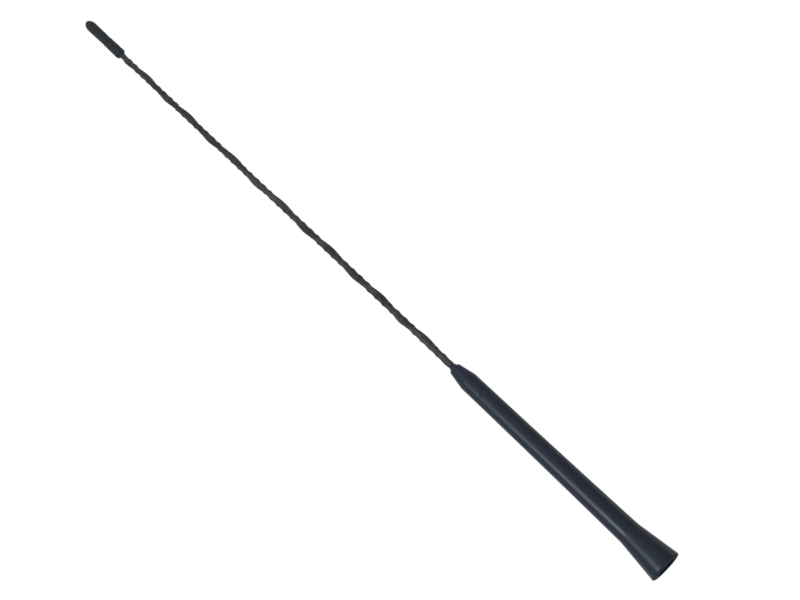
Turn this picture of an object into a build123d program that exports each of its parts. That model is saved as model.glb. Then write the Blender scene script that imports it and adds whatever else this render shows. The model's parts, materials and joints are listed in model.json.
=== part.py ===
from build123d import *
import math
import os

# Car mast aerial: a flexible whip held in a tapered grip with a flared, threaded foot.
# Millimetres, +Z along the mast towards its tip, origin at the centre of the foot's seat.

# Lengths along the mast
MAST_LENGTH = 410.0
CAP_LENGTH = 32.0
GRIP_LENGTH = 122.0
WHIP_IN_CAP = 22.0
SLEEVE_IN_GRIP = 18.0

# Radii of the whip, from the core outwards
CORE_RADIUS = 0.8
WIRE_DIAMETER = 0.2
SLEEVE_WALL = 0.3

# Ripple of the sleeve over the winding, and its coarse ridge against wind noise; both left-handed
RIPPLE_TURNS = 50
RIPPLE_HEIGHT = 0.33
RIPPLES_PER_RIDGE = 7
RIPPLES_BELOW_RIDGE = 3
RIDGE_HEIGHT = 0.64
RIDGE_SHARPNESS = 8
RIDGE_RUN_IN = 5.0
CREST_BLEND = 4
ARCS_PER_TURN = 6

# Cap at the tip: a round nose, a slight taper and a plain side
CAP_RADIUS = 2.7
CAP_NOSE_RADIUS = 2.4
CAP_NOSE_HEIGHT = 2.2
CAP_TAPER_HEIGHT = 3.0
CAP_FOOT_CHAMFER = 0.3

# Grip: flared foot, slow taper and top cone
FOOT_RADIUS = 7.52
FOOT_RIM_CHAMFER = 0.8
FLARE_HEIGHT = 19.5
FLARE_TOP_RADIUS = 5.1
TAPER_MIDDLE_Z = 61.0
TAPER_MIDDLE_RADIUS = 4.62
TAPER_TOP_RADIUS = 4.31
CONE_HEIGHT = 9.0
CONE_TOP_RADIUS = 2.75
CONE_TOP_CHAMFER = 0.5
SEAT_RING_WIDTH = 1.8
SEAT_RECESS_DEPTH = 1.0

# Brass insert: barrel with an M6 hole, collar with two flats to key it, neck with a socket for the core
BARREL_RADIUS = 3.9
BARREL_LENGTH = 10.0
COLLAR_RADIUS = 4.4
COLLAR_LENGTH = 5.0
COLLAR_FLATS = 8.0
NECK_RADIUS = 2.0
NECK_LENGTH = 15.0
SOCKET_DEPTH = 12.0
THREAD_CORE_RADIUS = 2.5
THREAD_LENGTH = 12.0
THREAD_MOUTH_CHAMFER = 0.55

# Levels and radii that follow from the sizes above
WINDING_RADIUS = CORE_RADIUS + WIRE_DIAMETER
SLEEVE_RADIUS = WINDING_RADIUS + SLEEVE_WALL
CAP_FOOT_Z = MAST_LENGTH - CAP_LENGTH
WHIP_TOP_Z = CAP_FOOT_Z + WHIP_IN_CAP
SLEEVE_FOOT_Z = GRIP_LENGTH - SLEEVE_IN_GRIP
RIPPLE_PITCH = (CAP_FOOT_Z - GRIP_LENGTH) / RIPPLE_TURNS
RIDGE_PITCH = RIPPLE_PITCH * RIPPLES_PER_RIDGE
RIDGE_LEVEL_AT_X = GRIP_LENGTH + RIPPLE_PITCH * RIPPLES_BELOW_RIDGE
INSERT_FOOT_Z = SEAT_RECESS_DEPTH
BARREL_TOP_Z = INSERT_FOOT_Z + BARREL_LENGTH
COLLAR_TOP_Z = BARREL_TOP_Z + COLLAR_LENGTH
NECK_TOP_Z = COLLAR_TOP_Z + NECK_LENGTH


def rod(radius, low, high):
    """A plain round solid on the mast's axis."""
    return Pos(0, 0, low) * Cylinder(radius, high - low, align=(Align.CENTER, Align.CENTER, Align.MIN))


def half_section(*outline):
    """The face inside an outline of radius and height."""
    return make_face([edge for line in outline for edge in line.edges()])


def turned(section):
    """A solid turned about the mast's axis from its half section."""
    return revolve(Plane.XZ * section, Axis.Z)


def ridge_height(angle, z):
    """How far the coarse ridge lifts the sleeve at this place; it fades out towards both ends."""
    from_ridge = angle + 2 * math.pi * (z - RIDGE_LEVEL_AT_X) / RIDGE_PITCH
    closeness = (1 + math.cos(from_ridge)) / 2
    from_end = min(z - GRIP_LENGTH, CAP_FOOT_Z - z)
    run_in = max(0.0, min(1.0, from_end / RIDGE_RUN_IN))
    return RIDGE_HEIGHT * run_in * closeness**RIDGE_SHARPNESS


def sleeve_point(turn, share, on_crest):
    """A point of one turn's valley or crest; the first and last turns open out from nothing."""
    angle = -2 * math.pi * share
    valley_below = min(max(turn - 1 + share, 0), RIPPLE_TURNS)
    valley_above = min(turn + share, RIPPLE_TURNS)
    if on_crest:
        z = GRIP_LENGTH + RIPPLE_PITCH * (valley_below + valley_above) / 2
        ripple = RIPPLE_HEIGHT * (valley_above - valley_below)
        lift = (ripple**CREST_BLEND + ridge_height(angle, z) ** CREST_BLEND) ** (1 / CREST_BLEND)
    else:
        z = GRIP_LENGTH + RIPPLE_PITCH * valley_below
        lift = ridge_height(angle, z)
    radius = SLEEVE_RADIUS + lift
    return Vector(radius * math.cos(angle), radius * math.sin(angle), z)


def sleeve_turn(turn, on_crest):
    """One turn of a valley or a crest, as a chain of arcs."""
    arcs = []
    for arc in range(ARCS_PER_TURN):
        shares = [(arc + part) / ARCS_PER_TURN for part in (0, 0.5, 1)]
        arcs.append(Edge.make_three_point_arc(*[sleeve_point(turn, share, on_crest) for share in shares]))
    return arcs


def make_rod_sleeve():
    valleys = [sleeve_turn(turn, False) for turn in range(RIPPLE_TURNS + 2)]
    crests = [sleeve_turn(turn, True) for turn in range(RIPPLE_TURNS + 1)]
    skin = [Face(Wire(valleys[0])), Face(Wire(valleys[-1]))]
    for turn, crest in enumerate(crests):
        for low, middle, high in zip(valleys[turn], crest, valleys[turn + 1]):
            skin.append(Face.make_surface_from_curves(low, middle))
            skin.append(Face.make_surface_from_curves(middle, high))
    rippled = Solid(Shell(Face.sew_faces(skin)[0]))
    foot = rod(SLEEVE_RADIUS, SLEEVE_FOOT_Z, GRIP_LENGTH)
    top = rod(SLEEVE_RADIUS, CAP_FOOT_Z, WHIP_TOP_Z)
    return rippled + foot + top - rod(WINDING_RADIUS, SLEEVE_FOOT_Z, WHIP_TOP_Z)


def make_core_rod():
    return rod(CORE_RADIUS, NECK_TOP_Z - SOCKET_DEPTH, WHIP_TOP_Z)


def make_radiator_winding():
    """The wire's turns as one solid, from the insert's neck to the top of the whip."""
    return rod(WINDING_RADIUS, NECK_TOP_Z, WHIP_TOP_Z) - rod(CORE_RADIUS, NECK_TOP_Z, WHIP_TOP_Z)


def make_tip_cap():
    nose_foot = (CAP_NOSE_RADIUS, MAST_LENGTH - CAP_NOSE_HEIGHT)
    nose_rounding = (CAP_NOSE_RADIUS**2 + CAP_NOSE_HEIGHT**2) / (2 * CAP_NOSE_HEIGHT)
    nose = RadiusArc((0, MAST_LENGTH), nose_foot, nose_rounding)
    side = Polyline(
        nose_foot,
        (CAP_RADIUS, MAST_LENGTH - CAP_NOSE_HEIGHT - CAP_TAPER_HEIGHT),
        (CAP_RADIUS, CAP_FOOT_Z + CAP_FOOT_CHAMFER),
        (CAP_RADIUS - CAP_FOOT_CHAMFER, CAP_FOOT_Z),
        (SLEEVE_RADIUS, CAP_FOOT_Z),
        (SLEEVE_RADIUS, WHIP_TOP_Z),
        (0, WHIP_TOP_Z),
        (0, MAST_LENGTH),
    )
    return turned(half_section(nose, side))


def make_insert_blank():
    """The insert's outside, before its hole and socket are drilled."""
    barrel = rod(BARREL_RADIUS, INSERT_FOOT_Z, BARREL_TOP_Z)
    collar = rod(COLLAR_RADIUS, BARREL_TOP_Z, COLLAR_TOP_Z)
    between_flats = Box(2 * COLLAR_RADIUS, COLLAR_FLATS, 2 * COLLAR_TOP_Z)
    neck = rod(NECK_RADIUS, COLLAR_TOP_Z, NECK_TOP_Z)
    return barrel + (collar & between_flats) + neck


def make_threaded_insert(blank):
    mouth_radius = THREAD_CORE_RADIUS + THREAD_MOUTH_CHAMFER
    hole = Polyline(
        (0, INSERT_FOOT_Z),
        (mouth_radius, INSERT_FOOT_Z),
        (THREAD_CORE_RADIUS, INSERT_FOOT_Z + THREAD_MOUTH_CHAMFER),
        (THREAD_CORE_RADIUS, INSERT_FOOT_Z + THREAD_LENGTH),
        (0, INSERT_FOOT_Z + THREAD_LENGTH),
        close=True,
    )
    socket = rod(CORE_RADIUS, NECK_TOP_Z - SOCKET_DEPTH, NECK_TOP_Z)
    return blank - turned(half_section(hole)) - socket


def make_grip(insert_blank):
    flare_top = (FLARE_TOP_RADIUS, FLARE_HEIGHT)
    taper_middle = (TAPER_MIDDLE_RADIUS, TAPER_MIDDLE_Z)
    cone_foot = (TAPER_TOP_RADIUS, GRIP_LENGTH - CONE_HEIGHT)
    recess_radius = FOOT_RADIUS - FOOT_RIM_CHAMFER - SEAT_RING_WIDTH
    foot = Polyline(
        (0, SEAT_RECESS_DEPTH),
        (recess_radius, SEAT_RECESS_DEPTH),
        (recess_radius, 0),
        (FOOT_RADIUS, 0),
        flare_top,
    )
    taper = ThreePointArc(flare_top, taper_middle, cone_foot)
    cone = Polyline(cone_foot, (CONE_TOP_RADIUS, GRIP_LENGTH), (0, GRIP_LENGTH), (0, SEAT_RECESS_DEPTH))
    section = half_section(foot, taper, cone)
    foot_rim = section.vertices().sort_by(Axis.X)[-1]
    section = chamfer(foot_rim, FOOT_RIM_CHAMFER)
    cone_top = section.vertices().group_by(Axis.Y)[-1].sort_by(Axis.X)[-1]
    section = chamfer(cone_top, CONE_TOP_CHAMFER)
    moulding = turned(section)
    moulding -= rod(SLEEVE_RADIUS, SLEEVE_FOOT_Z, GRIP_LENGTH)
    moulding -= rod(WINDING_RADIUS, NECK_TOP_Z, SLEEVE_FOOT_Z)
    return moulding - insert_blank


insert_blank = make_insert_blank()
nodes = {
    "threaded_insert": make_threaded_insert(insert_blank),
    "core_rod": make_core_rod(),
    "radiator_winding": make_radiator_winding(),
    "rod_sleeve": make_rod_sleeve(),
    "tip_cap": make_tip_cap(),
    "grip": make_grip(insert_blank),
}
os.makedirs("parts", exist_ok=True)
for name, solid in nodes.items():
    export_step(solid, f"parts/{name}.step")
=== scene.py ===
import json
import math
import bmesh
import bpy
from mathutils import Matrix, Vector


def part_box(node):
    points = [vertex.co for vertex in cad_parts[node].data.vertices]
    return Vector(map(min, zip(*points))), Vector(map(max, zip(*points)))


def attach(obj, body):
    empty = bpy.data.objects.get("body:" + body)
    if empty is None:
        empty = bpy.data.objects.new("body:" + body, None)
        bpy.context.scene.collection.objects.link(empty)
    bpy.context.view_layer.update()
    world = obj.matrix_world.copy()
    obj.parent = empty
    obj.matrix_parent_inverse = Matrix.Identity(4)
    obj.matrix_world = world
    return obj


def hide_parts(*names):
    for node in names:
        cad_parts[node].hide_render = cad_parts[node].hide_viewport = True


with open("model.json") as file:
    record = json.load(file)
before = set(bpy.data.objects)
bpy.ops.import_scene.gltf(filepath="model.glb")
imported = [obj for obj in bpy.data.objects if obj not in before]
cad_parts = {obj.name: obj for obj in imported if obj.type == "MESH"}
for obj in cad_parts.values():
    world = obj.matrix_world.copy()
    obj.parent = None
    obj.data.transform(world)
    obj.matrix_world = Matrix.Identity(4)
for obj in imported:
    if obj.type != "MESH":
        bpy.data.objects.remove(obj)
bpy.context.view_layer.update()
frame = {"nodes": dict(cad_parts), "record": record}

# Core rod
# The springy rod that keeps the whip straight: glass strands pulled through resin, cured and cut to
# length. Its foot is glued into the socket of the brass insert, and the winding is laid on it.
MM = 0.001
STRAND_WIDTH = 0.12 * MM
STRAND_STRETCH = (1, 1, 0.02)
STRAND_RELIEF = 0.02 * MM
RESIN_COLOURS = [(0.35, (0.52, 0.50, 0.36, 1)), (0.65, (0.72, 0.70, 0.58, 1))]
RESIN_ROUGHNESS = (0.35, 0.55)
RESIN_SHINE = 0.4
NOISE_LOW = 0.3
NOISE_HIGH = 0.7


def add_node(tree, kind, inputs=None, **settings):
    """Adds a node to a tree; each input gets a value or is linked to another node's output."""
    node = tree.nodes.new(kind)
    for name, value in settings.items():
        setattr(node, name, value)
    for socket, value in (inputs or {}).items():
        if isinstance(value, bpy.types.NodeSocket):
            tree.links.new(value, node.inputs[socket])
        else:
            node.inputs[socket].default_value = value
    return node


def start_material(name, constants):
    """A new material and its tree; what is the same all over the piece is set on the shader."""
    material = bpy.data.materials.new(name)
    material.use_nodes = True
    shader = material.node_tree.nodes["Principled BSDF"]
    for socket, value in constants.items():
        shader.inputs[socket].default_value = value
    return material, material.node_tree


def finish_material(material, colour, roughness, normal):
    """Links what varies over the piece to the material's shader."""
    tree = material.node_tree
    shader = tree.nodes["Principled BSDF"]
    tree.links.new(colour, shader.inputs["Base Color"])
    tree.links.new(roughness, shader.inputs["Roughness"])
    tree.links.new(normal, shader.inputs["Normal"])
    return material


def object_place(tree):
    """The piece's own coordinates, in metres."""
    return tree.nodes.new("ShaderNodeTexCoord").outputs["Object"]


def grain(tree, size, stretch=(1, 1, 1)):
    """Noise of this grain size on the piece's own coordinates, scaled along its axes."""
    mapping = add_node(tree, "ShaderNodeMapping", {"Vector": object_place(tree), "Scale": stretch})
    noise = {"Vector": mapping.outputs[0], "Scale": 1 / size}
    return add_node(tree, "ShaderNodeTexNoise", noise).outputs[0]


def colours(tree, factor, stops):
    """A colour that runs through these stops as the factor rises."""
    ramp = add_node(tree, "ShaderNodeValToRGB", {0: factor})
    elements = ramp.color_ramp.elements
    while len(elements) < len(stops):
        elements.new(1.0)
    for element, (place, colour) in zip(elements, stops):
        element.position = place
        element.color = colour
    return ramp.outputs[0]


def spread(tree, factor, low, high):
    """A value that goes from low to high over the middle of the noise's range."""
    ends = {"Value": factor, "From Min": NOISE_LOW, "From Max": NOISE_HIGH, "To Min": low, "To Max": high}
    return add_node(tree, "ShaderNodeMapRange", ends).outputs[0]


def relief(tree, height, depth):
    """A normal that stands for fine relief of this depth."""
    return add_node(tree, "ShaderNodeBump", {"Height": height, "Distance": depth}).outputs[0]


def make_glass_fibre():
    """Pale resin with darker strands along the rod."""
    material, tree = start_material("glass_fibre", {"Specular IOR Level": RESIN_SHINE})
    strands = grain(tree, STRAND_WIDTH, STRAND_STRETCH)
    colour = colours(tree, strands, RESIN_COLOURS)
    roughness = spread(tree, strands, *RESIN_ROUGHNESS)
    return finish_material(material, colour, roughness, relief(tree, strands, STRAND_RELIEF))


def dress_solid(name, material):
    """Gives its material to a solid that stays as it is."""
    materials = frame["nodes"][name].data.materials
    materials.clear()
    materials.append(material)


dress_solid("core_rod", make_glass_fibre())

# Radiator winding
# The wire that receives the signal: enamelled copper, wound on the core turn by turn from the neck of
# the insert to the top of the whip, and held there by the sleeve shrunk over it.
WIRE_DIAMETER = 0.2 * MM
WIRE_RELIEF = WIRE_DIAMETER / 2
WAVES_AT_SCALE_1 = 20 / math.tau
# The dark copper in the groove between turns is painted shade.
COPPER_COLOURS_WITH_GROOVE_SHADE = [(0.1, (0.34, 0.12, 0.05, 1)), (0.7, (0.66, 0.28, 0.13, 1))]
COPPER_ROUGHNESS = (0.5, 0.28)
ENAMEL_COAT = 0.3


def make_wound_copper():
    """Bright copper, rougher in the groove between one turn of the wire and the next, and darker there with
    painted shade.
    """
    material, tree = start_material("winding_copper", {"Metallic": 1.0, "Coat Weight": ENAMEL_COAT})
    waves = {"Vector": object_place(tree), "Scale": 1 / (WIRE_DIAMETER * WAVES_AT_SCALE_1)}
    turn = add_node(tree, "ShaderNodeTexWave", waves, bands_direction="Z").outputs[1]
    colour = colours(tree, turn, COPPER_COLOURS_WITH_GROOVE_SHADE)
    roughness = spread(tree, turn, *COPPER_ROUGHNESS)
    return finish_material(material, colour, roughness, relief(tree, turn, WIRE_RELIEF))


dress_solid("radiator_winding", make_wound_copper())

# Rod sleeve
# A tube of dark grey plastic shrunk over the wound core. It shows the winding as a close spiral ripple,
# and one coarse ridge winds up the whip with it, a little unevenly, so that the wind doesn't make it hum.
SLEEVE_BORE = 1.0 * MM
SLEEVE_RADIUS = 1.3 * MM
SLEEVE_SIDES = 48
SLEEVE_RING_GAP = 0.25 * MM
WALL_RISE_AT_GRIP = 0.14 * MM
WALL_RISE_AT_CAP = 0.06 * MM
GRIP_LIP_HEIGHT = 1.9 * MM
CAP_LIP_HEIGHT = 2.2 * MM
RIPPLE_TURNS = 50
RIPPLE_HEIGHT = 0.27 * MM
RIPPLE_SHARPNESS = 2.0
RIPPLE_RUN_IN = 2.5 * MM
RIPPLE_UNEVENNESS = 0.5
RIPPLE_CHANGES_PER_TURN = 1.7
RIPPLES_PER_RIDGE = 7
RIPPLES_BELOW_RIDGE = 3
RIDGE_HEIGHT = 0.64 * MM
RIDGE_SHARPNESS = 8.0
RIDGE_RUN_IN = 5 * MM
RIDGE_SLACK = 4 * MM
CREST_BLEND = 4.0
MERGE_GAP = 0.002 * MM
# The crests of the ripple and the ridge take the lighter colour here: a painted highlight.
SLEEVE_COLOURS_WITH_CREST_HIGHLIGHT = [(0.15, (0.0148, 0.0150, 0.0160, 1)), (0.95, (0.0300, 0.0304, 0.0322, 1))]
SLEEVE_GRAIN = 0.6 * MM
SLEEVE_MOTTLE = 0.5
SLEEVE_ROUGHNESS = (0.45, 0.6)
SLEEVE_RELIEF = 0.012 * MM
SLEEVE_SHINE = 0.1
SOCKET_KINDS = {float: "NodeSocketFloat", int: "NodeSocketInt", bpy.types.Material: "NodeSocketMaterial"}

# Places up the whip, from 0 to 1, and the share of the slack by which the ridge is above its even winding
RIDGE_SLACK_COURSE = [
    (0.0, 1.0),
    (0.07, 1.0),
    (0.2, -0.5),
    (0.4, -0.55),
    (0.6, 0.0),
    (0.89, 0.5),
    (1.0, 0.3),
]


def start_rule(name, sizes):
    """A geometry tree with one named input for each size, and the sockets that those inputs give."""
    tree = bpy.data.node_groups.new(name, "GeometryNodeTree")
    tree.interface.new_socket("Mesh", in_out="OUTPUT", socket_type="NodeSocketGeometry")
    for size_name, value in sizes.items():
        tree.interface.new_socket(size_name, in_out="INPUT", socket_type=SOCKET_KINDS[type(value)])
    return tree, tree.nodes.new("NodeGroupInput").outputs


def calc(tree, operation, *values, clamp=False):
    """One step of arithmetic in a tree; each value is a number or the result of another step."""
    step = add_node(tree, "ShaderNodeMath", dict(enumerate(values)), operation=operation, use_clamp=clamp)
    return step.outputs[0]


def start_wall(tree, size):
    """A fine round wall of radius 1, with each point's height on the mast and its angle."""
    rings = {"Vertices": size["sides"], "Side Segments": size["rings"], "Radius": 1.0, "Depth": 1.0}
    wall = add_node(tree, "GeometryNodeMeshCylinder", rings, fill_type="NONE").outputs["Mesh"]
    position = tree.nodes.new("GeometryNodeInputPosition").outputs[0]
    place = add_node(tree, "ShaderNodeSeparateXYZ", {0: position}).outputs
    length = calc(tree, "SUBTRACT", size["top"], size["foot"])
    height = calc(tree, "MULTIPLY_ADD", calc(tree, "ADD", place["Z"], 0.5), length, size["foot"])
    angle = calc(tree, "ARCTAN2", place["Y"], place["X"])
    return wall, height, angle


def place_wall(tree, wall, radius, height, angle):
    """Moves each point of the wall out to its radius."""
    across = calc(tree, "MULTIPLY", radius, calc(tree, "COSINE", angle))
    along = calc(tree, "MULTIPLY", radius, calc(tree, "SINE", angle))
    place = add_node(tree, "ShaderNodeCombineXYZ", {"X": across, "Y": along, "Z": height}).outputs[0]
    return add_node(tree, "GeometryNodeSetPosition", {"Geometry": wall, "Position": place}).outputs[0]


def share_from_ends(tree, height, low, high, run):
    """Rises from 0 at both ends to 1 once the height is this far from them."""
    from_low = calc(tree, "SUBTRACT", height, low)
    from_high = calc(tree, "SUBTRACT", high, height)
    return calc(tree, "DIVIDE", calc(tree, "MINIMUM", from_low, from_high), run, clamp=True)


def end_rule(tree, mesh, size):
    """Closes the tree: smooth faces, plain geometry and the piece's material."""
    smooth = add_node(tree, "GeometryNodeSetShadeSmooth", {0: mesh}).outputs[0]
    plain = add_node(tree, "GeometryNodeRealizeInstances", {0: smooth}).outputs[0]
    dressed = add_node(tree, "GeometryNodeSetMaterial", {"Geometry": plain, "Material": size["material"]})
    add_node(tree, "NodeGroupOutput", {0: dressed.outputs[0]})


def grow_piece(name, tree, sizes):
    """The piece that a geometry tree makes from these sizes, as a plain mesh."""
    piece = bpy.data.objects.new(name, bpy.data.meshes.new(name))
    bpy.context.scene.collection.objects.link(piece)
    modifier = piece.modifiers.new("rule", "NODES")
    modifier.node_group = tree
    for socket in tree.interface.items_tree:
        if socket.in_out == "INPUT":
            modifier[socket.identifier] = sizes[socket.name]
    depsgraph = bpy.context.evaluated_depsgraph_get()
    grown = bpy.data.meshes.new_from_object(piece.evaluated_get(depsgraph))
    piece.modifiers.remove(modifier)
    piece.data = grown
    return piece


def make_sleeve_plastic():
    """Dark grey plastic, with a painted highlight that makes the crests of the ripple and the ridge
    lighter.
    """
    material, tree = start_material("sleeve_plastic", {"Specular IOR Level": SLEEVE_SHINE})
    crest = add_node(tree, "ShaderNodeAttribute", attribute_name="crest").outputs["Fac"]
    mottle = grain(tree, SLEEVE_GRAIN)
    colour = colours(tree, calc(tree, "MULTIPLY_ADD", mottle, SLEEVE_MOTTLE, crest), SLEEVE_COLOURS_WITH_CREST_HIGHLIGHT)
    roughness = spread(tree, mottle, *SLEEVE_ROUGHNESS)
    return finish_material(material, colour, roughness, relief(tree, mottle, SLEEVE_RELIEF))


def set_course(curve, points):
    """Gives a curve node these points; their values may run from -1 to 1."""
    curve.mapping.clip_min_y = -1.0
    course = curve.mapping.curves[0].points
    for place in points[len(course):]:
        course.new(*place)
    for point, place in zip(course, points):
        point.location = place
    curve.mapping.update()


def from_winding(tree, height, angle, start, pitch):
    """The angle from a left-handed winding that faces +X at the start height."""
    turns = calc(tree, "DIVIDE", calc(tree, "SUBTRACT", height, start), pitch)
    return calc(tree, "MULTIPLY_ADD", turns, math.tau, angle)


def hump(tree, phase, sharpness):
    """Rises from 0 to 1 and falls again once in each turn of the phase."""
    wave = calc(tree, "MULTIPLY_ADD", calc(tree, "COSINE", phase), 0.5, 0.5)
    return calc(tree, "POWER", wave, sharpness)


def open_lift(tree, size, height, lift, run_in, shape):
    """This lift times its shape, fading out towards both ends of the sleeve's open length."""
    share = share_from_ends(tree, height, size["open foot"], size["open top"], run_in)
    return calc(tree, "MULTIPLY", calc(tree, "MULTIPLY", lift, share), shape)


def ridge_lift(tree, size, height, angle, up_the_whip):
    """How far the coarse ridge lifts the wall."""
    course = add_node(tree, "ShaderNodeFloatCurve", {"Value": up_the_whip})
    set_course(course, RIDGE_SLACK_COURSE)
    slack = calc(tree, "MULTIPLY", course.outputs[0], size["ridge slack"])
    level = calc(tree, "ADD", size["ridge level"], slack)
    phase = from_winding(tree, height, angle, level, size["ridge pitch"])
    shape = hump(tree, phase, size["ridge sharpness"])
    return open_lift(tree, size, height, size["ridge height"], size["ridge run-in"], shape)


def ripple_lift(tree, size, height, angle):
    """How far the close ripple lifts the wall; its valleys follow the winding, and its height is uneven."""
    from_valley = from_winding(tree, height, angle, size["ripple foot"], size["ripple pitch"])
    phase = calc(tree, "SUBTRACT", from_valley, math.pi)
    changes = {"W": calc(tree, "DIVIDE", phase, math.tau), "Scale": RIPPLE_CHANGES_PER_TURN}
    noise = add_node(tree, "ShaderNodeTexNoise", changes, noise_dimensions="1D").outputs[0]
    evenness = calc(tree, "MULTIPLY_ADD", calc(tree, "SUBTRACT", noise, 0.5), size["unevenness"], 1.0)
    lift = calc(tree, "MULTIPLY", size["ripple height"], evenness)
    shape = hump(tree, phase, size["ripple sharpness"])
    return open_lift(tree, size, height, lift, size["ripple run-in"], shape)


def blend_lifts(tree, size, ripple, ridge):
    """The higher of the two lifts, with a soft change from one to the other."""
    ripple_part = calc(tree, "POWER", ripple, size["crest blend"])
    ridge_part = calc(tree, "POWER", ridge, size["crest blend"])
    root = calc(tree, "DIVIDE", 1.0, size["crest blend"])
    return calc(tree, "POWER", calc(tree, "ADD", ripple_part, ridge_part), root)


def add_bore(tree, size, outside):
    """Closes the wall with a plain bore inside it."""
    length = calc(tree, "SUBTRACT", size["top"], size["foot"])
    middle = calc(tree, "MULTIPLY", calc(tree, "ADD", size["top"], size["foot"]), 0.5)
    tube = {"Vertices": size["sides"], "Radius": size["bore"], "Depth": length}
    bore = add_node(tree, "GeometryNodeMeshCylinder", tube, fill_type="NONE").outputs["Mesh"]
    lifted = add_node(tree, "ShaderNodeCombineXYZ", {"Z": middle}).outputs[0]
    bore = add_node(tree, "GeometryNodeTransform", {"Geometry": bore, "Translation": lifted}).outputs[0]
    bore = add_node(tree, "GeometryNodeFlipFaces", {"Mesh": bore}).outputs[0]
    both = add_node(tree, "GeometryNodeJoinGeometry", {0: outside})
    tree.links.new(bore, both.inputs[0])
    merged = {"Geometry": both.outputs[0], "Distance": MERGE_GAP}
    return add_node(tree, "GeometryNodeMergeByDistance", merged).outputs[0]


def make_sleeve_rule(sizes):
    """A tube whose wall is lifted by the ripple and the ridge, both winding left-handed."""
    tree, size = start_rule("sleeve_rule", sizes)
    wall, height, angle = start_wall(tree, size)
    from_grip = calc(tree, "SUBTRACT", height, size["ripple foot"])
    whip_length = calc(tree, "SUBTRACT", size["ripple top"], size["ripple foot"])
    up_the_whip = calc(tree, "DIVIDE", from_grip, whip_length, clamp=True)
    ripple = ripple_lift(tree, size, height, angle)
    ridge = ridge_lift(tree, size, height, angle, up_the_whip)
    lift = blend_lifts(tree, size, ripple, ridge)

    rise_change = calc(tree, "SUBTRACT", size["rise at cap"], size["rise at grip"])
    rise = calc(tree, "MULTIPLY_ADD", up_the_whip, rise_change, size["rise at grip"])
    in_the_open = share_from_ends(tree, height, size["open foot"], size["open top"], MERGE_GAP)
    proud = calc(tree, "MULTIPLY_ADD", rise, in_the_open, lift)
    thickness = calc(tree, "SUBTRACT", calc(tree, "ADD", size["radius"], proud), size["bore"])
    past_end_rings = share_from_ends(tree, height, size["foot"], size["top"], MERGE_GAP)
    radius = calc(tree, "MULTIPLY_ADD", thickness, past_end_rings, size["bore"])

    outside = place_wall(tree, wall, radius, height, angle)
    # The crest share is stored for the sleeve's material, which paints a highlight on the crests.
    crest = calc(tree, "DIVIDE", lift, size["ridge height"])
    marked = {"Geometry": outside, "Name": "crest", "Value": crest}
    outside = add_node(tree, "GeometryNodeStoreNamedAttribute", marked).outputs[0]
    end_rule(tree, add_bore(tree, size, outside), size)
    return tree


sleeve_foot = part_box("rod_sleeve")[0].z
sleeve_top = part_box("rod_sleeve")[1].z
grip_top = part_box("grip")[1].z
cap_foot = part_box("tip_cap")[0].z
ripple_pitch = (cap_foot - grip_top) / RIPPLE_TURNS
sleeve_sizes = {
    "foot": sleeve_foot,
    "top": sleeve_top,
    "bore": SLEEVE_BORE,
    "radius": SLEEVE_RADIUS,
    "sides": SLEEVE_SIDES,
    "rings": round((sleeve_top - sleeve_foot) / SLEEVE_RING_GAP),
    "open foot": grip_top + GRIP_LIP_HEIGHT - SLEEVE_RING_GAP,
    "open top": cap_foot - CAP_LIP_HEIGHT + SLEEVE_RING_GAP,
    "rise at grip": WALL_RISE_AT_GRIP,
    "rise at cap": WALL_RISE_AT_CAP,
    "ripple foot": grip_top,
    "ripple top": cap_foot,
    "ripple pitch": ripple_pitch,
    "ripple height": RIPPLE_HEIGHT,
    "ripple sharpness": RIPPLE_SHARPNESS,
    "ripple run-in": RIPPLE_RUN_IN,
    "unevenness": RIPPLE_UNEVENNESS,
    "ridge level": grip_top + ripple_pitch * RIPPLES_BELOW_RIDGE,
    "ridge slack": RIDGE_SLACK,
    "ridge pitch": ripple_pitch * RIPPLES_PER_RIDGE,
    "ridge height": RIDGE_HEIGHT,
    "ridge sharpness": RIDGE_SHARPNESS,
    "ridge run-in": RIDGE_RUN_IN,
    "crest blend": CREST_BLEND,
    "material": make_sleeve_plastic(),
}
sleeve = grow_piece("rippled_sleeve", make_sleeve_rule(sleeve_sizes), sleeve_sizes)
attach(sleeve, "root")
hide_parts("rod_sleeve")

# Tip cap
# A small cap moulded in charcoal plastic and pushed over the end of the whip, so that the bare end can't
# scratch or poke. It has a long dome, a slight waist, and a rounded foot with a soft lip round the whip.
CAP_DOME_LENGTH = 5.2 * MM
CAP_DOME_RADIUS = 2.78 * MM
CAP_WAIST_RADIUS = 2.66 * MM
CAP_WAIST_SHARE = 0.42
CAP_FOOT_RADIUS = 2.8 * MM
CAP_FOOT_ROUND = 1.0 * MM
CAP_LIP_FOOT_RADIUS = 1.78 * MM
CAP_LIP_RADIUS = 1.45 * MM
CAP_STEPS = 24
TURNING_SIDES = 96
ROUND_STEPS = 6
RUN_STEP = 1.0 * MM
SHARP_EDGE = math.radians(35)
CAP_COLOURS = [(0.35, (0.0118, 0.0140, 0.0152, 1)), (0.65, (0.0186, 0.0213, 0.0227, 1))]
CAP_GRAIN = 0.35 * MM
CAP_ROUGHNESS = (0.5, 0.65)
CAP_RELIEF = 0.006 * MM
CAP_SHINE = 0.08


def rounded(corners):
    """An outline of radius and height through these corners, each rounded to its own radius."""
    points = []
    for index, (radius, height, rounding) in enumerate(corners):
        corner = Vector((radius, height))
        if not rounding:
            points.append(corner)
            continue
        before = (Vector(corners[index - 1][:2]) - corner).normalized()
        after = (Vector(corners[index + 1][:2]) - corner).normalized()
        half_angle = before.angle(after) / 2
        inwards = (before + after).normalized()
        centre = corner + inwards * rounding / math.sin(half_angle)
        turn = math.pi - 2 * half_angle
        side = math.copysign(1, before.cross(after))
        for step in range(ROUND_STEPS + 1):
            swing = side * turn * (0.5 - step / ROUND_STEPS)
            points.append(centre + Matrix.Rotation(swing, 2) @ (-inwards * rounding))
    return points


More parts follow.
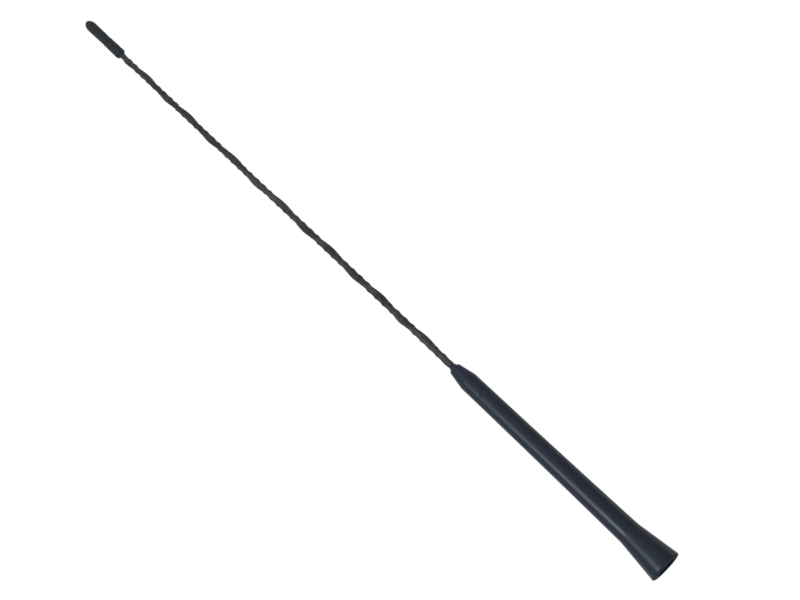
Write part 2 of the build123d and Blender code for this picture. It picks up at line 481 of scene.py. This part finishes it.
def with_steps(outline):
    """The same outline with points added, so that no run is longer than the step."""
    points = [outline[0]]
    for end in outline[1:]:
        start = points[-1]
        count = max(1, math.ceil((end - start).length / RUN_STEP))
        points += [start.lerp(end, (step + 1) / count) for step in range(count)]
    return points


def turned_mesh(*outlines):
    """A mesh turned about the mast's axis from these outlines; an end off the axis is left open."""
    mesh = bmesh.new()
    turns = [math.tau * side / TURNING_SIDES for side in range(TURNING_SIDES)]
    for outline in outlines:
        rings = []
        for radius, height in outline:
            if radius < MERGE_GAP:
                rings.append([mesh.verts.new((0, 0, height))] * TURNING_SIDES)
            else:
                places = [(radius * math.cos(turn), radius * math.sin(turn), height) for turn in turns]
                rings.append([mesh.verts.new(place) for place in places])
        for low, high in zip(rings, rings[1:]):
            for side in range(TURNING_SIDES):
                beside = (side + 1) % TURNING_SIDES
                mesh.faces.new(dict.fromkeys((low[side], low[beside], high[beside], high[side])))
    return mesh


def finish_piece(name, mesh, material):
    """Closes a mesh, turns its faces outwards, shades it smooth up to sharp edges and names it."""
    bmesh.ops.remove_doubles(mesh, verts=mesh.verts, dist=MERGE_GAP)
    bmesh.ops.recalc_face_normals(mesh, faces=mesh.faces)
    for face in mesh.faces:
        face.smooth = True
    data = bpy.data.meshes.new(name)
    mesh.to_mesh(data)
    mesh.free()
    data.set_sharp_from_angle(angle=SHARP_EDGE)
    data.materials.append(material)
    piece = bpy.data.objects.new(name, data)
    bpy.context.scene.collection.objects.link(piece)
    return piece


def make_cap_plastic():
    """Charcoal plastic with the fine pores of a matt mould."""
    material, tree = start_material("cap_plastic", {"Specular IOR Level": CAP_SHINE})
    pores = grain(tree, CAP_GRAIN)
    colour = colours(tree, pores, CAP_COLOURS)
    roughness = spread(tree, pores, *CAP_ROUGHNESS)
    return finish_material(material, colour, roughness, relief(tree, pores, CAP_RELIEF))


def cap_dome(top):
    """The outline of the dome, from its top to the cap's side."""
    points = []
    for step in range(CAP_STEPS + 1):
        angle = math.pi / 2 * step / CAP_STEPS
        points.append((CAP_DOME_RADIUS * math.sin(angle), top - CAP_DOME_LENGTH * (1 - math.cos(angle)), 0))
    return points


def cap_side(top):
    """The outline of the side below the dome: a slight waist, and a little wider at the foot."""
    points = []
    length = top - CAP_DOME_LENGTH - cap_foot
    for step in range(1, CAP_STEPS):
        share = step / CAP_STEPS
        waist = math.sin(math.pi * min(1.0, share / (2 * CAP_WAIST_SHARE))) ** 2
        radius = CAP_DOME_RADIUS + (CAP_FOOT_RADIUS - CAP_DOME_RADIUS) * share**2
        radius -= (CAP_DOME_RADIUS - CAP_WAIST_RADIUS) * waist
        points.append((radius, top - CAP_DOME_LENGTH - length * share, 0))
    return points


cap_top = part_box("tip_cap")[1].z
cap_outline = rounded(
    [
        *cap_dome(cap_top),
        *cap_side(cap_top),
        (CAP_FOOT_RADIUS, cap_foot, CAP_FOOT_ROUND),
        (CAP_LIP_FOOT_RADIUS, cap_foot, 0),
        (CAP_LIP_RADIUS, cap_foot - CAP_LIP_HEIGHT, 0),
        (SLEEVE_RADIUS, cap_foot - CAP_LIP_HEIGHT, 0),
        (SLEEVE_RADIUS, sleeve_top, 0),
        (0, sleeve_top, 0),
    ]
)
cap = finish_piece("tip_cap_moulding", turned_mesh(with_steps(cap_outline)), make_cap_plastic())
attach(cap, "root")
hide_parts("tip_cap")

# Threaded insert
# The brass heart of the foot, turned on a lathe from bar: a barrel with an M6 thread cut in it, by which
# the mast screws onto the car, a collar with two flats that stop it turning, and a neck for the core.
INSERT_FOOT = 1.0 * MM
BARREL_RADIUS = 3.9 * MM
BARREL_TOP = 11 * MM
BARREL_EDGE = 0.4 * MM
COLLAR_RADIUS = 4.4 * MM
COLLAR_TOP = 16 * MM
COLLAR_FLATS = 8.0 * MM
NECK_RADIUS = 2.0 * MM
NECK_TOP = 31 * MM
SOCKET_RADIUS = 0.8 * MM
SOCKET_FOOT = 19 * MM
THREAD_MOUTH = 0.55 * MM
THREAD_TOP = 13 * MM
THREAD_PITCH = 1.0 * MM
THREAD_DEPTH = 0.5 * MM
THREAD_RUN_OUT = 0.8 * MM
THREAD_RINGS_PER_TURN = 16
ROOT_HALF_WIDTH = 1 / 16
FLANK_WIDTH = 5 / 16
BRASS_COLOURS = [(0.3, (0.60, 0.44, 0.19, 1)), (0.7, (0.74, 0.58, 0.30, 1))]
BRASS_CLOUD = 2 * MM
BRASS_ROUGHNESS = (0.22, 0.38)
TURNING_MARK = 0.12 * MM
TURNING_RELIEF = 0.01 * MM


def make_insert_brass():
    """Brass with the fine rings that the lathe leaves: they change with radius and height alone."""
    material, tree = start_material("insert_brass", {"Metallic": 1.0})
    place = add_node(tree, "ShaderNodeSeparateXYZ", {0: object_place(tree)}).outputs
    across = add_node(tree, "ShaderNodeCombineXYZ", {"X": place["X"], "Y": place["Y"]}).outputs[0]
    radius = add_node(tree, "ShaderNodeVectorMath", {0: across}, operation="LENGTH").outputs["Value"]
    section = add_node(tree, "ShaderNodeCombineXYZ", {"X": radius, "Z": place["Z"]}).outputs[0]
    marks = add_node(tree, "ShaderNodeTexNoise", {"Vector": section, "Scale": 1 / TURNING_MARK}).outputs[0]
    colour = colours(tree, grain(tree, BRASS_CLOUD), BRASS_COLOURS)
    roughness = spread(tree, marks, *BRASS_ROUGHNESS)
    return finish_material(material, colour, roughness, relief(tree, marks, TURNING_RELIEF))


def make_thread_rule(sizes):
    """The wall of a hole with a right-handed thread cut into it, running out at both ends."""
    tree, size = start_rule("thread_rule", sizes)
    wall, height, angle = start_wall(tree, size)
    turns = calc(tree, "DIVIDE", height, size["pitch"])
    phase = calc(tree, "FRACT", calc(tree, "MULTIPLY_ADD", angle, -1 / math.tau, turns))
    from_root = calc(tree, "ABSOLUTE", calc(tree, "SUBTRACT", phase, 0.5))
    flank = calc(tree, "SUBTRACT", ROOT_HALF_WIDTH + FLANK_WIDTH, from_root)
    groove = calc(tree, "DIVIDE", flank, FLANK_WIDTH, clamp=True)
    share = share_from_ends(tree, height, size["foot"], size["top"], size["run-out"])
    depth = calc(tree, "MULTIPLY", calc(tree, "MULTIPLY", size["depth"], share), groove)
    cut = place_wall(tree, wall, calc(tree, "ADD", size["radius"], depth), height, angle)
    end_rule(tree, add_node(tree, "GeometryNodeFlipFaces", {"Mesh": cut}).outputs[0], size)
    return tree


def cut_flats(mesh):
    """Cuts the two flats of the collar, or of the hollow that holds it."""
    for vert in mesh.verts:
        if abs(vert.co.xy.length - COLLAR_RADIUS) < MERGE_GAP and abs(vert.co.y) > COLLAR_FLATS / 2:
            vert.co.y = math.copysign(COLLAR_FLATS / 2, vert.co.y)


stud_socket = next(mount for mount in frame["record"]["mounts"] if mount["name"] == "stud_socket")
thread_radius = stud_socket["dims"]["r_mm"] * MM
thread_foot = INSERT_FOOT + THREAD_MOUTH
thread_sizes = {
    "foot": thread_foot,
    "top": THREAD_TOP,
    "radius": thread_radius,
    "pitch": THREAD_PITCH,
    "depth": THREAD_DEPTH,
    "run-out": THREAD_RUN_OUT,
    "sides": TURNING_SIDES,
    "rings": round((THREAD_TOP - thread_foot) / THREAD_PITCH * THREAD_RINGS_PER_TURN),
    "material": make_insert_brass(),
}
thread = grow_piece("thread", make_thread_rule(thread_sizes), thread_sizes)
insert_outline = [
    (thread_radius, thread_foot),
    (thread_radius + THREAD_MOUTH, INSERT_FOOT),
    (BARREL_RADIUS - BARREL_EDGE, INSERT_FOOT),
    (BARREL_RADIUS, INSERT_FOOT + BARREL_EDGE),
    (BARREL_RADIUS, BARREL_TOP),
    (COLLAR_RADIUS, BARREL_TOP),
    (COLLAR_RADIUS, COLLAR_TOP),
    (NECK_RADIUS, COLLAR_TOP),
    (NECK_RADIUS, NECK_TOP),
    (SOCKET_RADIUS, NECK_TOP),
    (SOCKET_RADIUS, SOCKET_FOOT),
    (0, SOCKET_FOOT),
]
hole_end = [(thread_radius, THREAD_TOP), (0, THREAD_TOP)]
insert_mesh = turned_mesh(insert_outline, hole_end)
cut_flats(insert_mesh)
insert_mesh.from_mesh(thread.data)
bpy.data.objects.remove(thread)
insert = finish_piece("brass_insert", insert_mesh, thread_sizes["material"])
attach(insert, "root")
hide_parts("threaded_insert")

# Grip
# The long handle of the mast, moulded in blue-black rubber over the insert and the foot of the whip: a cone
# with a soft lip at its top, a slow taper, and a flared foot whose ring seats on the base on the car.
FOOT_RADIUS = 7.52 * MM
FOOT_RIM_ROUND = 0.7 * MM
RECESS_RADIUS = 4.92 * MM
RECESS_EDGE_ROUND = 0.1 * MM
FLARE_TOP = 19.6 * MM
FLARE_TOP_RADIUS = 5.14 * MM
FLARE_ROUND = 22 * MM
TAPER_MIDDLE = 61 * MM
TAPER_MIDDLE_RADIUS = 4.67 * MM
TAPER_STEPS = 24
CONE_HEIGHT = 8.7 * MM
CONE_FOOT_RADIUS = 4.37 * MM
CONE_FOOT_ROUND = 4 * MM
CONE_TOP_RADIUS = 2.75 * MM
CONE_TOP_ROUND = 0.4 * MM
GRIP_LIP_FOOT_RADIUS = 2.2 * MM
GRIP_LIP_RADIUS = 1.47 * MM
GRIP_LIP_HOLLOW = 0.3 * MM
RUBBER_COLOURS = [
    (0.30, (0.0082, 0.0112, 0.0168, 1)),
    (0.62, (0.0111, 0.0148, 0.0217, 1)),
    (0.80, (0.0270, 0.0305, 0.0355, 1)),
]
RUBBER_GRAIN = 0.45 * MM
RUBBER_CLOUD = 6 * MM
RUBBER_CLOUD_STRETCH = (1, 1, 0.3)
RUBBER_ROUGHNESS = (0.31, 0.37)
RUBBER_RELIEF = 0.0009 * MM
RUBBER_SHINE = 0.1
SEAT_ROUGHNESS = 0.85
SEAT_ROUGH_BELOW = 0.1 * MM
SEAT_SMOOTH_ABOVE = 0.6 * MM


def make_grip_rubber():
    """Satin rubber with light specks; the ring that seats on the base is rough."""
    material, tree = start_material("grip_rubber", {"Specular IOR Level": RUBBER_SHINE})
    pores = grain(tree, RUBBER_GRAIN)
    cloud = grain(tree, RUBBER_CLOUD, RUBBER_CLOUD_STRETCH)
    seat = {
        "Value": add_node(tree, "ShaderNodeSeparateXYZ", {0: object_place(tree)}).outputs["Z"],
        "From Min": SEAT_ROUGH_BELOW,
        "From Max": SEAT_SMOOTH_ABOVE,
        "To Min": SEAT_ROUGHNESS,
        "To Max": spread(tree, cloud, *RUBBER_ROUGHNESS),
    }
    colour = colours(tree, pores, RUBBER_COLOURS)
    roughness = add_node(tree, "ShaderNodeMapRange", seat).outputs[0]
    return finish_material(material, colour, roughness, relief(tree, pores, RUBBER_RELIEF))


def taper_radius(height, top):
    """The slow taper's radius: a curve through the flare's top, the taper's middle and the cone's foot."""
    low, middle, high = FLARE_TOP, TAPER_MIDDLE, top
    from_low = (height - middle) * (height - high) / ((low - middle) * (low - high))
    from_middle = (height - low) * (height - high) / ((middle - low) * (middle - high))
    from_high = (height - low) * (height - middle) / ((high - low) * (high - middle))
    return from_low * FLARE_TOP_RADIUS + from_middle * TAPER_MIDDLE_RADIUS + from_high * CONE_FOOT_RADIUS


def slow_taper(top):
    """The outline of the slow taper between the flare and the cone."""
    heights = [FLARE_TOP + (top - FLARE_TOP) * step / TAPER_STEPS for step in range(1, TAPER_STEPS)]
    return [(taper_radius(height, top), height, 0) for height in heights]


cone_foot = grip_top - CONE_HEIGHT
grip_outline = rounded(
    [
        (BARREL_RADIUS, INSERT_FOOT, 0),
        (RECESS_RADIUS, INSERT_FOOT, 0),
        (RECESS_RADIUS, 0, RECESS_EDGE_ROUND),
        (FOOT_RADIUS, 0, FOOT_RIM_ROUND),
        (FLARE_TOP_RADIUS, FLARE_TOP, FLARE_ROUND),
        *slow_taper(cone_foot),
        (CONE_FOOT_RADIUS, cone_foot, CONE_FOOT_ROUND),
        (CONE_TOP_RADIUS, grip_top, CONE_TOP_ROUND),
        (GRIP_LIP_FOOT_RADIUS, grip_top, GRIP_LIP_HOLLOW),
        (GRIP_LIP_RADIUS, grip_top + GRIP_LIP_HEIGHT, 0),
        (SLEEVE_RADIUS, grip_top + GRIP_LIP_HEIGHT, 0),
        (SLEEVE_RADIUS, sleeve_foot, 0),
        (SLEEVE_BORE, sleeve_foot, 0),
        (SLEEVE_BORE, NECK_TOP, 0),
        (NECK_RADIUS, NECK_TOP, 0),
        (NECK_RADIUS, COLLAR_TOP, 0),
        (COLLAR_RADIUS, COLLAR_TOP, 0),
        (COLLAR_RADIUS, BARREL_TOP, 0),
        (BARREL_RADIUS, BARREL_TOP, 0),
        (BARREL_RADIUS, INSERT_FOOT, 0),
    ]
)
grip_mesh = turned_mesh(with_steps(grip_outline))
cut_flats(grip_mesh)
grip = finish_piece("moulded_grip", grip_mesh, make_grip_rubber())
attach(grip, "root")
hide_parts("grip")

# Floor
# A plain pale disc under the foot that fades into the white surround. Seen from below it is clear, because
# the main view looks up at the foot from under the floor's level.
FLOOR_RADIUS = 1.2
FLOOR_LEVEL = -0.2 * MM
FLOOR_SIDES = 64
FLOOR_COLOUR = (0.76, 0.76, 0.76, 1)
FLOOR_FADE_FROM = 0.1
FLOOR_FADE_TO = 0.38


def make_floor_paint():
    """Pale paint that turns clear away from the foot, and on its underside."""
    material = bpy.data.materials.new("pale_floor")
    material.use_nodes = True
    tree = material.node_tree
    tree.nodes.remove(tree.nodes["Principled BSDF"])
    paint = add_node(tree, "ShaderNodeBsdfDiffuse", {"Color": FLOOR_COLOUR}).outputs[0]
    clear = tree.nodes.new("ShaderNodeBsdfTransparent").outputs[0]
    place = {0: object_place(tree)}
    distance = add_node(tree, "ShaderNodeVectorMath", place, operation="LENGTH").outputs["Value"]
    ends = {"Value": distance, "From Min": FLOOR_FADE_FROM, "From Max": FLOOR_FADE_TO}
    fade = add_node(tree, "ShaderNodeMapRange", ends, interpolation_type="SMOOTHSTEP").outputs[0]
    below = tree.nodes.new("ShaderNodeNewGeometry").outputs["Backfacing"]
    unseen = calc(tree, "MAXIMUM", fade, below)
    blended = add_node(tree, "ShaderNodeMixShader", {0: unseen, 1: paint, 2: clear}).outputs[0]
    tree.links.new(blended, tree.nodes["Material Output"].inputs["Surface"])
    return material


floor_mesh = bmesh.new()
bmesh.ops.create_circle(floor_mesh, cap_ends=True, radius=FLOOR_RADIUS, segments=FLOOR_SIDES)
floor_data = bpy.data.meshes.new("floor")
floor_mesh.to_mesh(floor_data)
floor_mesh.free()
floor_data.materials.append(make_floor_paint())
floor = bpy.data.objects.new("floor", floor_data)
floor.location.z = FLOOR_LEVEL
# It takes the mast's shadow, but isn't mirrored in the mast, throws no light on it and lets lamps through
floor.visible_diffuse = False
floor.visible_glossy = False
floor.visible_shadow = False
bpy.context.scene.collection.objects.link(floor)

# White surround
# What the camera and the reflections see all round is plain white. It lights the mast less than that,
# so that the lamps still shape it.
AMBIENT = 0.15
PLAIN_WHITE = (1, 1, 1, 1)

scene = bpy.context.scene
scene.world = bpy.data.worlds.new("white_surround")
scene.world.use_nodes = True
surround = scene.world.node_tree
ray = surround.nodes.new("ShaderNodeLightPath").outputs
shown = calc(surround, "MAXIMUM", ray["Is Camera Ray"], ray["Is Glossy Ray"])
shown = calc(surround, "MAXIMUM", shown, ray["Is Transmission Ray"])
background = surround.nodes["Background"].inputs
background["Color"].default_value = PLAIN_WHITE
surround.links.new(calc(surround, "MULTIPLY_ADD", shown, 1 - AMBIENT, AMBIENT), background["Strength"])

# Lamps
# A cool low window at the left draws the long streak down the grip, and a dim high one carries it over the
# flare. Soft boxes fill from near the camera, from the right, from below and from behind.
LAMP_AIM = Vector((0, 0, 0.12))
WINDOW_LIGHT = (0.84, 0.92, 1.0)
NEAR_LIGHT = (0.8, 0.9, 1.0)
WHITE_LIGHT = (1.0, 1.0, 1.0)


def hang_soft_box(name, azimuth, elevation, distance, size, power, colour, mirrored=True):
    """A soft box at this azimuth and elevation, facing the mast; it may stay out of reflections."""
    lamp = bpy.data.lights.new(name, "AREA")
    lamp.shape = "RECTANGLE"
    lamp.size, lamp.size_y = size
    lamp.energy = power
    lamp.color = colour
    turn = math.radians(azimuth)
    rise = math.radians(elevation)
    towards = Vector((math.sin(turn) * math.cos(rise), -math.cos(turn) * math.cos(rise), math.sin(rise)))
    holder = bpy.data.objects.new(name, lamp)
    holder.location = LAMP_AIM + towards * distance
    holder.rotation_euler = towards.to_track_quat("Z", "Y").to_euler()
    holder.visible_camera = False
    holder.visible_glossy = mirrored
    bpy.context.scene.collection.objects.link(holder)


hang_soft_box(
    "low_window",
    azimuth=-41,
    elevation=4,
    distance=1.3,
    size=(0.5, 0.36),
    power=21.5,
    colour=WINDOW_LIGHT,
)
hang_soft_box(
    "high_window",
    azimuth=-20,
    elevation=27,
    distance=1.3,
    size=(0.9, 0.25),
    power=2.4,
    colour=WINDOW_LIGHT,
)
hang_soft_box(
    "near_fill",
    azimuth=0,
    elevation=25,
    distance=0.2,
    size=(0.22, 0.22),
    power=0.14,
    colour=NEAR_LIGHT,
)
hang_soft_box(
    "right_stripe",
    azimuth=100,
    elevation=6,
    distance=1.2,
    size=(0.4, 0.3),
    power=0.7,
    colour=WHITE_LIGHT,
)
hang_soft_box(
    "right_fill",
    azimuth=85,
    elevation=40,
    distance=0.35,
    size=(0.3, 0.3),
    power=0.8,
    colour=WHITE_LIGHT,
    mirrored=False,
)
hang_soft_box(
    "low_fill",
    azimuth=20,
    elevation=-75,
    distance=1.0,
    size=(0.8, 0.8),
    power=8,
    colour=WHITE_LIGHT,
    mirrored=False,
)
hang_soft_box(
    "far_side",
    azimuth=180,
    elevation=55,
    distance=1.2,
    size=(0.8, 0.8),
    power=16,
    colour=WHITE_LIGHT,
)

# Camera
# It stands close in front of the mast and a little below its foot, rolled so that the mast runs from
# the top left to the bottom right of the picture.
CAMERA_PLACE = Vector((0.0005, -0.489, -0.0557))
CAMERA_AIM = Vector((0.00562, 0.0, 0.16368))
CAMERA_ROLL = math.radians(-47.0)
CAMERA_LENS = 53.32
CAMERA_NEAREST = 10 * MM

camera_data = bpy.data.cameras.new("camera")
camera_data.lens = CAMERA_LENS
camera_data.clip_start = CAMERA_NEAREST
camera = bpy.data.objects.new("camera", camera_data)
aim = (CAMERA_AIM - CAMERA_PLACE).to_track_quat("-Z", "Y").to_matrix().to_4x4()
camera.matrix_world = Matrix.Translation(CAMERA_PLACE) @ aim @ Matrix.Rotation(CAMERA_ROLL, 4, "Z")
scene.collection.objects.link(camera)
scene.camera = camera
scene.view_settings.view_transform = "Standard"
